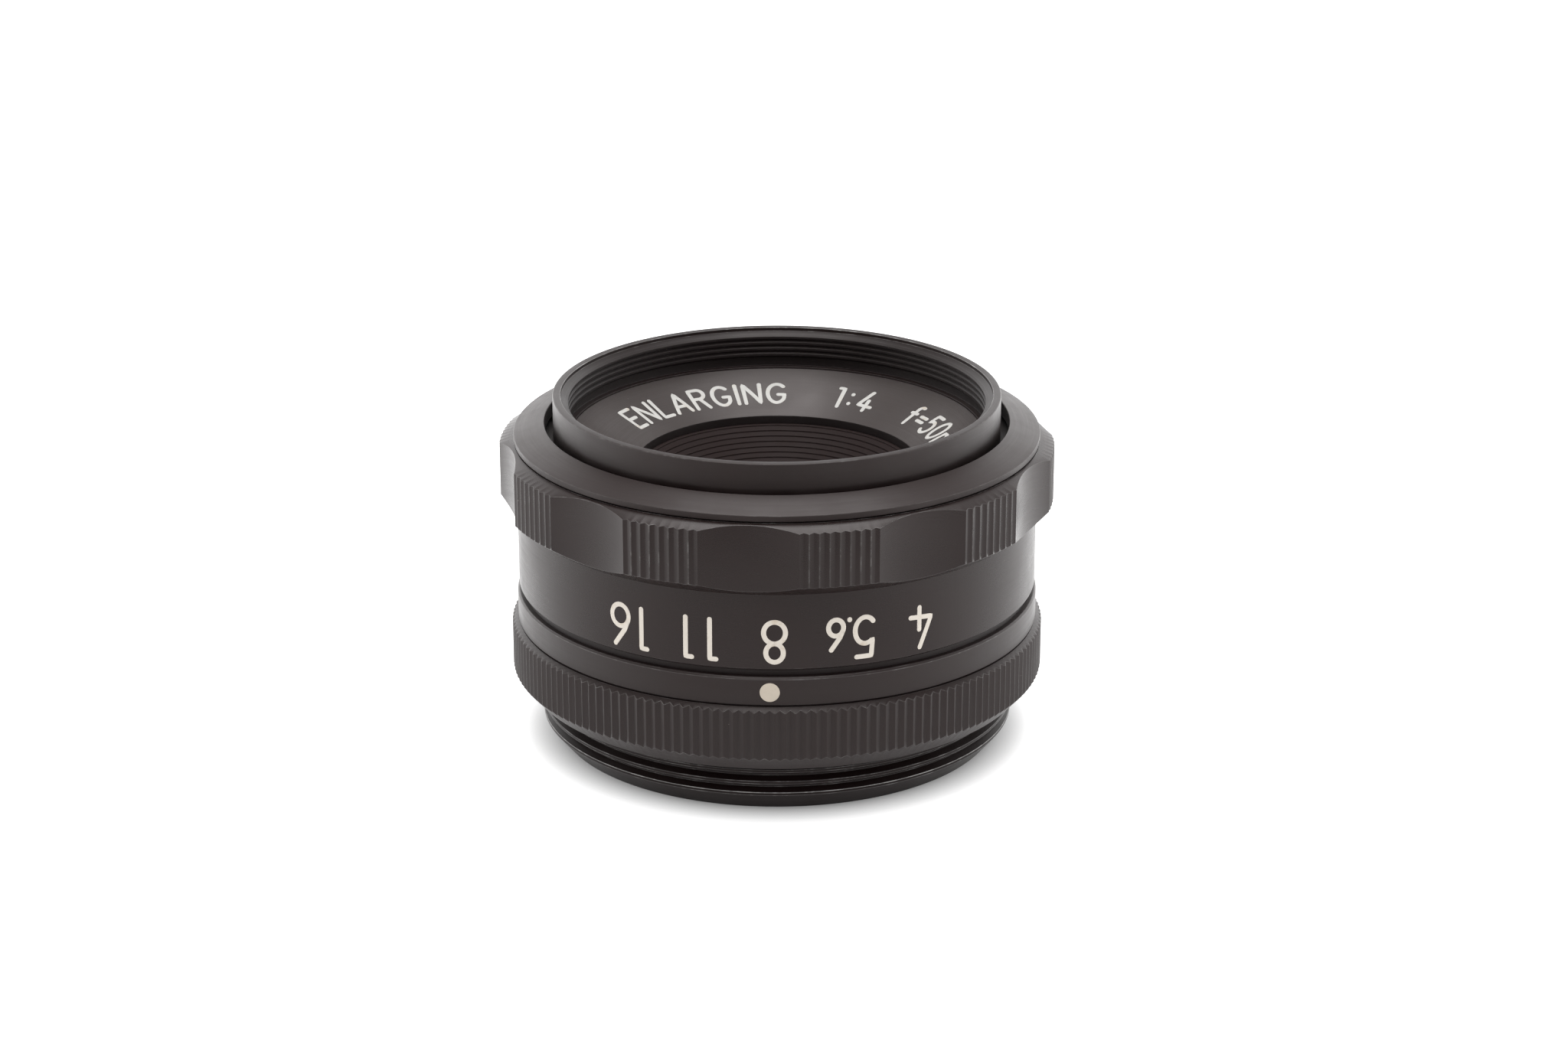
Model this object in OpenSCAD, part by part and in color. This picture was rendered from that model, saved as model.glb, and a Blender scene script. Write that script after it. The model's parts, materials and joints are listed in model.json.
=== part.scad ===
// Enlarger lens: four glass elements, an eight-blade iris and a click-stopped aperture ring.
// Origin at the centre of the rear thread rim. +Z runs to the front of the lens, and the
// index dot faces -Y. The aperture ring is drawn at the middle stop.

/* [Outside] */
// Height from the rear rim to the front lip
total_h = 28.92; // [28.9:0.01:29.2]
// Diameter of the grip of the aperture ring
grip_d = 45.46; // [45.3:0.02:45.6]
// Diameter of the plain skirt that carries the scale
skirt_d = 42.62; // [42.5:0.02:42.7]
// Diameter over the knurl of the mount base
knurl_d = 43.9; // [43.8:0.02:44.2]
// Diameter of the plain band with the index dot
band_d = 42.9; // [42.8:0.02:43]
// Outer diameter of the front ring
front_d = 36.54; // [36.4:0.02:36.7]

/* [Mount thread] */
// Major diameter of the enlarger thread
thread_d = 39; // [38.9:0.05:39.1]
// Pitch of the enlarger thread, 26 to the inch
thread_pitch = 0.977; // [0.95:0.001:1]
// Number of full crests
thread_crests = 3; // [2:1:3]
// Height of the flange face that meets the lens board
flange_z = 4.45; // [4.4:0.01:4.5]

/* [Front thread] */
// Minor diameter of the accessory thread
filter_d = 34; // [33.9:0.05:34.1]
// Pitch of the accessory thread
filter_pitch = 0.5; // [0.45:0.01:0.5]

/* [Knurls and grip] */
// Teeth of the straight knurl on the base
knurl_teeth = 170; // [160:1:180]
// Depth of the straight knurl
knurl_depth = 0.27; // [0.2:0.01:0.3]
// Scallops round the grip
scallops = 10; // [8:1:10]
// Radius of each scallop's hollow
scallop_r = 14; // [12:1:18]
// Flutes in each group between two scallops
flutes = 8; // [6:1:8]
// Depth of a flute
flute_depth = 0.2; // [0.15:0.01:0.25]
// Angle from one flute to the next, in degrees
flute_step = 2.05; // [1.95:0.01:2.1]

/* [Aperture] */
// Turn of the ring from one stop to the next, in degrees
stop_step = 16; // [16:1:16]
// Opening radius at the largest stop
open_r = 6; // [5.9:0.05:6.1]
// Opening radius at the smallest stop
closed_r = 1.5; // [1.5:0.05:2]
// Thickness of an iris blade
blade_t = 0.05; // [0.03:0.01:0.05]

/* [Hidden] */
BLADES = 8;
BLADE_NODES = [for (i = [1:BLADES]) str("iris_blade_", i)];
FIXED_NODES = [
    "mount_base", "index_dot", "base_set_screws", "main_barrel", "thrust_washer",
    "ring_retainer", "front_ring", "name_ring", "front_baffle", "front_cell",
    "front_element", "element_spacer", "middle_element", "blade_seat", "iris_snap_ring",
    "rear_cell", "rear_element_inner", "rear_element_outer", "rear_retainer",
    "rear_baffle", "click_spring", "click_spring_screw"
];
RING_NODES = ["aperture_ring", "ring_cap", "drive_screw", "cam_ring"];
$fn = 120;

// Running and seating gaps, measured on the radius
fit = 0.05;
seat = 0.02;
eps = 0.01;

// Directions round the axis, as angles from +X
front_side = -90;
back_side = 90;
ball_side = 0;
screw_sides = [back_side - 65, back_side, back_side + 65];

// Radii of the main diameters
grip_r = grip_d / 2;
skirt_r = skirt_d / 2;
knurl_r = knurl_d / 2;
band_r = band_d / 2;
front_r = front_d / 2;
thread_r = thread_d / 2;
filter_r = filter_d / 2;

// Mount base
rim_r = 18.15;
base_lip_r = 16.8;
base_lip_h = 2.4;
lead_h = 1.6;
crest_land = 0.24;
thread_depth = 0.55;
relief_r = 18.6;
undercut_r = 19.62;
undercut = 0.07;
flange_r = 20.7;
base_top = 12.46;
knurl_low = 5.82;
knurl_high = 9.66;
band_low = 10.2;
groove_r = 21.2;
barrel_thread_r = 17.5;
dot_r = 0.785;
dot_z = 11.24;
dot_depth = 0.45;
set_screw_r = 0.8;

// Barrel
barrel_r = 19;
shoulder_z = 12.9;
ring_top_z = 24.3;
barrel_top = 24.9;
neck_r = 17.9;
front_bore_r = 17.3;
flange_bore_r = 14.6;
cavity_r = 13.5;
cell_seat_z = 19;
rear_seat_z = 7.9;
rear_bore_r = 9;
rear_recess_r = 15;
seat_z = 12.4;

// Aperture ring
ring_low = 12.95;
skirt_low = 13.15;
grip_low = 20.34;
grip_high = 24.75;
ring_high = 25.25;
ring_edge_r = 21.55;
ring_bore_r = barrel_r + fit;
ring_counter_r = 20.9;
group_offset = 13.9;
scallop_edge = 180 / scallops - flutes * flute_step / 2 + 0.5;
scallop_reach = sqrt(pow(scallop_r, 2) - pow(grip_r * sin(scallop_edge), 2));
scallop_floor_r = max(21.6, grip_r * cos(scallop_edge) - scallop_r + scallop_reach);
cap_in_r = 18.98;
cap_out_r = 21.5;

// Front end
name_out_r = 16.8;
name_out_z = 25.5;
name_in_r = 11.5;
name_in_z = 22.96;
baffle_rim_z = 22.3;
baffle_rim_r = 11;
baffle_steps = 9;

// Iris
iris_in = 6.3;
iris_out = 11;
pivot_at = 10.6;
pivot_r = 0.45;
blade_end = 95;
ear_angle = 93;
ear_at = 12.3;
ear_r = 0.8;
drive_r = 0.4;
tilt_slope = 0.08;
tilt_toward = 58;
blade_z = 13.05;
cam_z = 14.5;
cam_t = 0.8;
cam_in = 6.9;
boss_in = 11.2;
boss_out = 12.6;
boss_half = 8;
stop_count = 5;
ring_limit = stop_step * (stop_count - 1) / 2;
blade_open = 2 * asin((iris_in - open_r) / (2 * pivot_at));
blade_closed = 2 * asin((iris_in - closed_r) / (2 * pivot_at));
blade_gain = (blade_closed - blade_open) / (2 * ring_limit);
blade_rest = (blade_closed + blade_open) / 2;

// Drive screw and its slot in the barrel
drive_z = 16.8;
drive_shank_r = 0.7;
drive_head_r = 1.2;
slot_half_h = 0.8;

// Click stop
ball_r = 0.8;
ball_z = 18.2;
ball_at = 18.23;
click_depth = 0.15;
dimple_r = 0.86;
spring_in = 17.44;
spring_t = 0.15;
spring_h = 1.6;
spring_from = -4;
spring_to = 22;
spring_screw_at = 19;

// Glass
front_glass_r = 7.2;
middle_glass_r = 6.3;
rear_glass_r = 7.2;

// A turned piece from its half section
module turned(points) {
    rotate_extrude() polygon(points);
}

// A plain washer or ring
module ring(outer, inner, low, high) {
    turned([[inner, low], [outer, low], [outer, high], [inner, high]]);
}

// A plain tube cut, a little longer than the wall that it goes through
module bore(radius, low, high) {
    translate([0, 0, low]) cylinder(r = radius, h = high - low);
}

// A round bar that runs outward from one radius to another
module radial_bar(radius, from_r, to_r, height, angle) {
    rotate([0, 0, angle]) translate([from_r, 0, height]) rotate([0, 90, 0])
        cylinder(r = radius, h = to_r - from_r);
}

// A block that follows the circle
module arc_block(outer, inner, low, high, from_a, to_a) {
    rotate([0, 0, from_a]) rotate_extrude(angle = to_a - from_a)
        polygon([[inner, low], [outer, low], [outer, high], [inner, high]]);
}

function polar(radius, angle) = [radius * cos(angle), radius * sin(angle)];
function turn(point, angle) = [
    point[0] * cos(angle) - point[1] * sin(angle),
    point[0] * sin(angle) + point[1] * cos(angle)
];

// ---- mount base -------------------------------------------------------------------

// Half section of the crests, from the lowest to the highest
function crest_points() = [
    for (i = [0:thread_crests - 1])
        let (low = lead_h + i * thread_pitch)
        for (p = [
            [thread_r, low],
            [thread_r, low + crest_land],
            [thread_r - thread_depth, low + crest_land + (thread_pitch - crest_land) / 2]
        ]) p
];

function base_points() = concat(
    [[base_lip_r, 0], [rim_r, 0]],
    crest_points(),
    [
        [relief_r, flange_z - 0.25],
        [relief_r, flange_z + undercut],
        [undercut_r, flange_z + undercut],
        [undercut_r, flange_z],
        [flange_r, flange_z],
        [knurl_r, knurl_low],
        [knurl_r, knurl_high],
        [band_r, 10],
        [groove_r, 10.02],
        [groove_r, 10.16],
        [band_r, band_low],
        [band_r, base_top - 0.18],
        [band_r - 0.15, base_top],
        [barrel_thread_r, base_top],
        [barrel_thread_r, base_lip_h],
        [base_lip_r, base_lip_h]
    ]
);

// Outline of the straight knurl: a flat crest and a V between each pair of teeth
function knurl_points() = [
    for (i = [0:knurl_teeth - 1])
        let (step = 360 / knurl_teeth, a = i * step)
        for (p = [
            polar(knurl_r + 0.05, a - step * 0.13),
            polar(knurl_r + 0.05, a + step * 0.13),
            polar(knurl_r - knurl_depth, a + step * 0.5)
        ]) p
];

module knurl_stock() {
    knurl_start = 5.2;
    knurl_stop = 10.05;
    translate([0, 0, -1]) cylinder(r = knurl_r + 1, h = knurl_start + 1);
    translate([0, 0, knurl_start]) linear_extrude(height = knurl_stop - knurl_start)
        polygon(knurl_points());
    translate([0, 0, knurl_stop]) cylinder(r = knurl_r + 1, h = 5);
}

module mount_base() {
    color([0.07, 0.07, 0.07]) difference() {
        intersection() {
            turned(base_points());
            knurl_stock();
        }
        radial_bar(dot_r + seat, band_r - dot_depth, band_r + 1, dot_z, front_side);
        for (a = screw_sides)
            radial_bar(set_screw_r + seat, barrel_thread_r - 1, band_r + 1, dot_z, a);
    }
}

module index_dot() {
    color([0.86, 0.84, 0.78])
        radial_bar(dot_r, band_r - dot_depth, band_r + eps, dot_z, front_side);
}

// A slotted headless screw that bears on the barrel
module set_screw(angle) {
    tip = barrel_thread_r;
    head = band_r - 0.5;
    difference() {
        radial_bar(set_screw_r, tip, head, dot_z, angle);
        rotate([0, 0, angle]) translate([head - 0.5, -0.15, dot_z - 1]) cube([1, 0.3, 2]);
    }
}

module base_set_screws() {
    color([0.3, 0.3, 0.31]) for (a = screw_sides) set_screw(a);
}

module thrust_washer() {
    color([0.1, 0.1, 0.1])
        ring(20.9, barrel_thread_r + 0.1, base_top, shoulder_z);
}

// ---- barrel -----------------------------------------------------------------------

function barrel_points() = [
    [rear_recess_r, base_lip_h],
    [barrel_thread_r - seat, base_lip_h],
    [barrel_thread_r - seat, shoulder_z],
    [barrel_r, shoulder_z],
    [barrel_r, ring_top_z],
    [neck_r, ring_top_z],
    [neck_r, barrel_top],
    [front_bore_r, barrel_top],
    [front_bore_r, 21.9],
    [flange_bore_r, 21.9],
    [flange_bore_r, cell_seat_z],
    [cavity_r, cell_seat_z],
    [cavity_r, 15.74],
    [cavity_r + 0.45, 15.74],
    [cavity_r + 0.45, 15.32],
    [cavity_r, 15.32],
    [cavity_r, seat_z],
    [7, seat_z],
    [7, 12],
    [rear_bore_r, 12],
    [rear_bore_r, rear_seat_z],
    [rear_recess_r, rear_seat_z]
];

// Slot in which the drive screw travels; its ends are the stops of the ring
module drive_slot() {
    slot_end = ring_limit + 3.6;
    arc_block(barrel_r + 1, cavity_r - 1, drive_z - slot_half_h, drive_z + slot_half_h,
        back_side - slot_end, back_side + slot_end);
}

// Pocket for the leaf spring, shallow where the spring is screwed down
module spring_pocket() {
    low = ball_z - spring_h / 2 - 0.1;
    high = ball_z + spring_h / 2 + 0.1;
    arc_block(barrel_r + 1, spring_in, low, high, spring_from - 3, spring_to + 2);
    arc_block(spring_in + 0.5, spring_in - 0.55, low, high, spring_from - 3, spring_to - 8);
    radial_bar(0.52, spring_in - 2.2, barrel_r, ball_z, spring_screw_at);
}

module main_barrel() {
    color([0.09, 0.09, 0.09]) difference() {
        turned(barrel_points());
        drive_slot();
        spring_pocket();
    }
}

module ring_retainer() {
    color([0.12, 0.12, 0.12]) difference() {
        ring(20.2, neck_r + seat, ring_top_z, barrel_top);
        for (side = [0, 180]) rotate([0, 0, side])
            translate([19.1, -0.5, ring_top_z + 0.25]) cube([2, 1, 1]);
    }
}

// ---- front end --------------------------------------------------------------------

// Half section of the accessory thread, from the top down
function filter_points() = [
    for (i = [0:3])
        let (high = total_h - 0.5 - i * filter_pitch)
        for (p = [
            [filter_r + 0.25, high],
            [filter_r, high - filter_pitch * 0.3],
            [filter_r, high - filter_pitch * 0.7]
        ]) p
];

module front_ring() {
    lip_in = 17.65;
    color([0.07, 0.07, 0.07]) turned(concat(
        [
            [15.9, 22.6],
            [front_bore_r - seat, 22.6],
            [front_bore_r - seat, barrel_top],
            [front_r, barrel_top],
            [front_r, total_h - 0.12],
            [front_r - 0.12, total_h],
            [lip_in + 0.08, total_h],
            [lip_in, total_h - 0.06],
            [lip_in, total_h - 0.3]
        ],
        filter_points(),
        [
            [filter_r + 0.35, 26.3],
            [filter_r + 0.35, 25.62],
            [name_out_r + seat, 25.62],
            [name_out_r + seat, 24.6],
            [15.9, 24.6]
        ]
    ));
}

module name_ring() {
    color([0.08, 0.08, 0.08]) turned([
        [name_in_r, name_in_z - 0.8],
        [15.2, 24.05],
        [15.85, 24.6],
        [name_out_r, 24.6],
        [name_out_r, name_out_z - 0.1],
        [name_out_r - 0.1, name_out_z],
        [name_in_r + 0.08, name_in_z],
        [name_in_r, name_in_z - 0.08]
    ]);
}

// Stepped cone that stops stray light, from a wide end to a narrow end
function stepped_cone(wide, narrow, steps) = [
    for (i = [0:steps - 1])
        let (a = i / steps, b = (i + 1) / steps)
        for (p = [
            [wide[0] + (narrow[0] - wide[0]) * a, wide[1] + (narrow[1] - wide[1]) * b],
            [wide[0] + (narrow[0] - wide[0]) * b, wide[1] + (narrow[1] - wide[1]) * b]
        ]) p
];

module front_baffle() {
    color([0.06, 0.06, 0.06]) turned(concat(
        [[11.4, baffle_rim_z], [baffle_rim_r, baffle_rim_z]],
        stepped_cone([baffle_rim_r, baffle_rim_z], [6.95, 19.42], baffle_steps),
        [[7.05, 19.3], [8.2, 19.3], [10, 20.4], [11.4, 20.4]]
    ));
}

module front_cell() {
    color([0.1, 0.1, 0.1]) turned([
        [5.75, 15.4],
        [8.6, 15.4],
        [8.6, cell_seat_z],
        [flange_bore_r - seat, cell_seat_z],
        [flange_bore_r - seat, 20.4],
        [12.6, 20.4],
        [12.6, 22.1],
        [11.4 + seat, 22.1],
        [11.4 + seat, 20.38],
        [10, 20.38],
        [8.2, 19.28],
        [front_glass_r + 0.12, 19.28],
        [front_glass_r + 0.12, 18.17],
        [middle_glass_r + seat, 18.17],
        [middle_glass_r + seat, 15.65],
        [5.75, 15.65]
    ]);
}

// ---- glass ------------------------------------------------------------------------

module front_element() {
    vertex = 20.82;
    curve = 17;
    color([0.75, 0.8, 0.9, 0.5]) intersection() {
        bore(front_glass_r, 18.62, vertex + 1);
        translate([0, 0, vertex - curve]) sphere(r = curve);
    }
}

module element_spacer() {
    color([0.1, 0.1, 0.1]) ring(front_glass_r + 0.1, 5.9, 18.17 + eps, 18.62);
}

module middle_element() {
    front_curve = 35;
    back_curve = 16;
    color([0.75, 0.8, 0.9, 0.5]) difference() {
        bore(middle_glass_r, 15.65, 18.17);
        translate([0, 0, 17.62 + front_curve]) sphere(r = front_curve);
        translate([0, 0, 16.82 - back_curve]) sphere(r = back_curve);
    }
}

// The two rear elements are cemented face to face
rear_joint_curve = 15.4;
rear_joint_z = 10.8;

module rear_element_inner() {
    color([0.75, 0.8, 0.9, 0.5]) difference() {
        bore(rear_glass_r, 8.8, 11.6);
        translate([0, 0, rear_joint_z - rear_joint_curve]) sphere(r = rear_joint_curve + eps);
    }
}

module rear_element_outer() {
    back_curve = 22;
    back_vertex = 7.2;
    color([0.75, 0.8, 0.9, 0.5]) intersection() {
        bore(rear_glass_r, 7, 11.6);
        translate([0, 0, rear_joint_z - rear_joint_curve]) sphere(r = rear_joint_curve);
        translate([0, 0, back_vertex + back_curve]) sphere(r = back_curve);
    }
}

module rear_cell() {
    color([0.1, 0.1, 0.1]) turned([
        [7.7, 6.9],
        [13.2, 6.9],
        [13.2, rear_seat_z],
        [rear_bore_r - seat, rear_seat_z],
        [rear_bore_r - seat, 11.95],
        [6.5, 11.95],
        [6.5, 11.6],
        [rear_glass_r + seat, 11.6],
        [rear_glass_r + seat, 8.3],
        [7.7, 8.3]
    ]);
}

module rear_retainer() {
    color([0.12, 0.12, 0.12]) difference() {
        ring(7.7 - seat, 6.8, 7.3, 8.28);
        for (side = [0, 180]) rotate([0, 0, side])
            translate([6.5, -0.4, 7]) cube([2, 0.8, 0.7]);
    }
}

module rear_baffle() {
    color([0.06, 0.06, 0.06]) turned(concat(
        [[rear_recess_r - seat, 2.9], [14.2, 2.9]],
        stepped_cone([14.2, 2.9], [7.9, 6.35], baffle_steps),
        [[7.9, 6.85], [8.6, 6.85], [13, 5.4], [rear_recess_r - seat, 5.4]]
    ));
}

// ---- iris -------------------------------------------------------------------------

// Turn of a blade about its pivot when the aperture ring stands at an angle
function blade_angle(ring_angle) = blade_rest + blade_gain * ring_angle;

// Place of a blade's drive pin, then the same place as the cam ring sees it
function pin_place(ring_angle) =
    [pivot_at, 0] + turn(polar(ear_at, ear_angle) - [pivot_at, 0], blade_angle(ring_angle));
function cam_place(ring_angle) = turn(pin_place(ring_angle), -ring_angle);

// Edge of a cam slot, offset square to the pin's path
slot_w = drive_r + fit;
slot_limit = ring_limit + 1;
function cam_heading(a) =
    let (d = cam_place(a + 0.5) - cam_place(a - 0.5)) d / norm(d);
function slot_edge(a, side) =
    cam_place(a) + side * slot_w * turn(cam_heading(a), 90);

module cam_slot() {
    steps = 16;
    angles = [for (i = [0:steps]) slot_limit * (2 * i / steps - 1)];
    translate([0, 0, cam_z - 0.1]) {
        linear_extrude(height = cam_t + 0.2) polygon(concat(
            [for (a = angles) slot_edge(a, 1)],
            [for (i = [0:steps]) slot_edge(angles[steps - i], -1)]
        ));
        for (a = [-slot_limit, slot_limit])
            translate(cam_place(a)) cylinder(r = slot_w, h = cam_t + 0.2);
    }
}

module cam_ring() {
    color([0.35, 0.33, 0.28]) difference() {
        union() {
            ring(cavity_r - fit, cam_in, cam_z, cam_z + cam_t);
            arc_block(boss_out, boss_in, cam_z + cam_t - 0.2, drive_z + 0.85,
                back_side - boss_half, back_side + boss_half);
        }
        for (i = [0:BLADES - 1]) rotate([0, 0, i * 360 / BLADES]) cam_slot();
        radial_bar(drive_shank_r + seat, boss_in - 1, boss_out + 1, drive_z, back_side);
    }
}

module blade_seat() {
    color([0.5, 0.49, 0.45]) difference() {
        ring(cavity_r - seat, 7, seat_z, shoulder_z);
        for (i = [0:BLADES - 1]) rotate([0, 0, i * 360 / BLADES])
            translate([pivot_at, 0, seat_z - 1]) cylinder(r = pivot_r + 0.03, h = 2);
    }
}

// A spring ring with a gap, snapped into the groove over the cam ring
module iris_snap_ring() {
    color([0.55, 0.55, 0.56])
        arc_block(cavity_r + 0.4, 12.75, 15.34, 15.7, front_side + 8, front_side + 352);
}

// A quarter band with an eye at the pivot and an ear for the drive pin
module blade_outline() {
    difference() {
        intersection() {
            circle(r = iris_out);
            polygon([[0, 0], [16, 0], [16, 16], [0, 16], polar(16, blade_end)]);
        }
        circle(r = iris_in);
    }
    translate([pivot_at, 0]) circle(r = 0.95);
    rotate(ear_angle) translate([iris_out - 0.6, -ear_r]) square([ear_at - iris_out + 0.6, 2 * ear_r]);
    translate(polar(ear_at, ear_angle)) circle(r = ear_r);
}

// The blades lean a little, so that each lies over the next one all the way round
module iris_blade(index) {
    lean = atan(tilt_slope);
    reach = polar(ear_at, ear_angle) - [pivot_at, 0];
    ear_rise = tilt_slope * (reach[1] * cos(tilt_toward) - reach[0] * sin(tilt_toward));
    color([0.16, 0.16, 0.17])
        rotate([0, 0, index * 360 / BLADES]) translate([pivot_at, 0, blade_z])
        rotate([0, 0, blade_rest]) {
            rotate(a = lean, v = [cos(tilt_toward), sin(tilt_toward), 0])
                translate([-pivot_at, 0, -blade_t / 2])
                linear_extrude(height = blade_t) blade_outline();
            translate([0, 0, seat_z + 0.05 - blade_z])
                cylinder(r = pivot_r, h = blade_z - seat_z - 0.05);
            translate([reach[0], reach[1], ear_rise])
                cylinder(r = drive_r, h = cam_z + cam_t - 0.1 - blade_z - ear_rise);
        }
}

// ---- aperture ring ----------------------------------------------------------------

function group_angle(k) = front_side + group_offset + k * 360 / scallops;

// Outline that cuts the flutes: a V at each flute and flats just outside the grip
flute_clear = 0.1;
flute_crest = 0.03;
function flute_points() = [
    for (k = [0:scallops - 1])
        let (
            first = group_angle(k) - flutes * flute_step / 2,
            last = first + flutes * flute_step
        )
            for (p = concat(
                [polar(grip_r + flute_clear, first)],
                [
                    for (j = [0:2 * flutes])
                        let (cut = j % 2 == 1 ? flute_depth : flute_crest)
                        polar(grip_r - cut, first + j * flute_step / 2)
                ],
                [polar(grip_r + flute_clear, last)]
            )) p
];

module flute_stock() {
    flute_low = 18.8;
    translate([0, 0, 10]) cylinder(r = grip_r + 1, h = flute_low - 10);
    translate([0, 0, flute_low]) linear_extrude(height = 10) polygon(flute_points());
}

module aperture_ring() {
    color([0.07, 0.07, 0.07]) difference() {
        intersection() {
            turned([
                [ring_bore_r, ring_low],
                [21, ring_low],
                [21.06, skirt_low],
                [skirt_r - 0.1, skirt_low],
                [skirt_r, skirt_low + 0.1],
                [skirt_r, grip_low - 0.95],
                [grip_r, grip_low],
                [grip_r, grip_high],
                [ring_edge_r, ring_high],
                [ring_counter_r, ring_high],
                [ring_counter_r, ring_top_z - fit],
                [ring_bore_r, ring_top_z - fit]
            ]);
            flute_stock();
        }
        for (k = [0:scallops - 1])
            rotate([0, 0, group_angle(k) + 180 / scallops])
                translate([scallop_floor_r + scallop_r, 0, 18])
                cylinder(r = scallop_r, h = 10, $fn = 360);
        for (k = [0:stop_count - 1])
            rotate([0, 0, ball_side + ring_limit - k * stop_step])
                translate([ball_at + click_depth, 0, ball_z]) sphere(r = dimple_r, $fn = 48);
        radial_bar(drive_shank_r + fit, barrel_r - 1, skirt_r + 1, drive_z, back_side);
        radial_bar(drive_head_r + fit, 20.4, skirt_r + 1, drive_z, back_side);
    }
}

module ring_cap() {
    color([0.07, 0.07, 0.07]) turned([
        [cap_in_r, 25.5],
        [20.3, 25.5],
        [20.3, 24.95],
        [ring_counter_r - seat, 24.95],
        [ring_counter_r - seat, ring_high],
        [cap_out_r - 0.25, ring_high],
        [cap_out_r - 0.25, ring_high + 0.13],
        [cap_out_r, ring_high + 0.13],
        [cap_out_r, 25.8],
        [cap_out_r - 0.07, 25.87],
        [cap_in_r + 0.1, 26.69],
        [cap_in_r, 26.59]
    ]);
}

module drive_screw() {
    head_low = 20.4;
    head_high = 21.15;
    color([0.3, 0.3, 0.31]) difference() {
        union() {
            radial_bar(drive_shank_r, 11.5, head_low, drive_z, back_side);
            radial_bar(drive_head_r, head_low, head_high, drive_z, back_side);
        }
        rotate([0, 0, back_side]) translate([head_high - 0.35, -2, drive_z - 0.15])
            cube([1, 4, 0.3]);
    }
}

// ---- click stop -------------------------------------------------------------------

module click_ball() {
    color([0.75, 0.75, 0.76]) rotate([0, 0, ball_side])
        translate([ball_at, 0, ball_z]) sphere(r = ball_r, $fn = 48);
}

module click_spring() {
    color([0.6, 0.58, 0.5]) difference() {
        arc_block(spring_in + spring_t, spring_in, ball_z - spring_h / 2, ball_z + spring_h / 2,
            ball_side + spring_from, ball_side + spring_to);
        radial_bar(0.5, spring_in - 1, spring_in + 1, ball_z, ball_side);
        radial_bar(0.55, spring_in - 1, spring_in + 1, ball_z, spring_screw_at);
    }
}

module click_spring_screw() {
    under_head = spring_in + spring_t + 0.05;
    color([0.5, 0.5, 0.5]) difference() {
        union() {
            radial_bar(0.5, spring_in - 2, under_head, ball_z, spring_screw_at);
            radial_bar(0.85, under_head, under_head + 0.5, ball_z, spring_screw_at);
        }
        rotate([0, 0, spring_screw_at]) translate([under_head + 0.25, -0.12, ball_z - 1.5])
            cube([1, 0.24, 3]);
    }
}

mount_base();
index_dot();
base_set_screws();
main_barrel();
thrust_washer();
ring_retainer();
front_ring();
name_ring();
front_baffle();
front_cell();
front_element();
element_spacer();
middle_element();
blade_seat();
iris_snap_ring();
rear_cell();
rear_element_inner();
rear_element_outer();
rear_retainer();
rear_baffle();
click_spring();
click_spring_screw();
aperture_ring();
ring_cap();
drive_screw();
cam_ring();
for (i = [0:BLADES - 1])
    iris_blade(i);
click_ball();
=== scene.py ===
"""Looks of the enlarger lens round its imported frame.

Outlines are half sections in millimetres, as (radius, height); MM turns them into metres.
Angles run from the index dot on -Y towards +X, in degrees.
"""

import json
import math

import bmesh
import bpy
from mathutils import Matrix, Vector


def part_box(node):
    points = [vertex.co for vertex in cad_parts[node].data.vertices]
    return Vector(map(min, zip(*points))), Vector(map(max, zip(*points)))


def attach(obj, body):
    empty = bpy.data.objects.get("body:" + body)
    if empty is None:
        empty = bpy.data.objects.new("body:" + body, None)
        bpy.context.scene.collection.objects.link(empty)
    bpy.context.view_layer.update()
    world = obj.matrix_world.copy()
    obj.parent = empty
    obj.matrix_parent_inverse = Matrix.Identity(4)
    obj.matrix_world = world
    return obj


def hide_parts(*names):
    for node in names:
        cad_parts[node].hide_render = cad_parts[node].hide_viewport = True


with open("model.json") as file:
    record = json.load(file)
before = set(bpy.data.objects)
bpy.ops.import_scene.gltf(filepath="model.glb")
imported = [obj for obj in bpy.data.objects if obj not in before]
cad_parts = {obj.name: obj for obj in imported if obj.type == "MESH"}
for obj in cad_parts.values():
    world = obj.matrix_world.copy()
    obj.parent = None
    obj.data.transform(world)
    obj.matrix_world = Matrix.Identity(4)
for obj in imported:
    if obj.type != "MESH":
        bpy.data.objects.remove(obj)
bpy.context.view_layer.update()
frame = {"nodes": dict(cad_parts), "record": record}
MM = 0.001
SMOOTH_ANGLE = 32


# ---- sizes taken from the frame -----------------------------------------------------

def reach(node):
    """Outer radius, lowest and highest point of a CAD node, in millimetres."""
    low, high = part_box(node)
    return high.x / MM, low.z / MM, high.z / MM


BASE_R, BASE_LOW, BASE_TOP = reach("mount_base")
GRIP_R, RING_LOW, RING_TOP = reach("aperture_ring")
CAP_R, CAP_LOW, CAP_TOP = reach("ring_cap")
FRONT_R, FRONT_LOW, FRONT_TOP = reach("front_ring")
NAME_R, NAME_LOW, NAME_TOP = reach("name_ring")
BAFFLE_R, BAFFLE_LOW, BAFFLE_TOP = reach("front_baffle")
REAR_BAFFLE_R, REAR_BAFFLE_LOW, REAR_BAFFLE_TOP = reach("rear_baffle")

THREAD_R = 19.5
THREAD_PITCH = 0.977
BAND_R = 21.45
SKIRT_R = 21.31
FILTER_R = 17.0
FILTER_PITCH = 0.5
KNURL_TEETH = 170
SCALLOPS = 10
FLUTES = 8

# The dot and the set screws share a height in the plain band. The drive screw is in the
# back of the skirt.
DOT_Z = 11.24
SET_SCREW_SIDES = (115, 180, 245)
DRIVE_Z = 16.8
DRIVE_SIDE = 180

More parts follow.
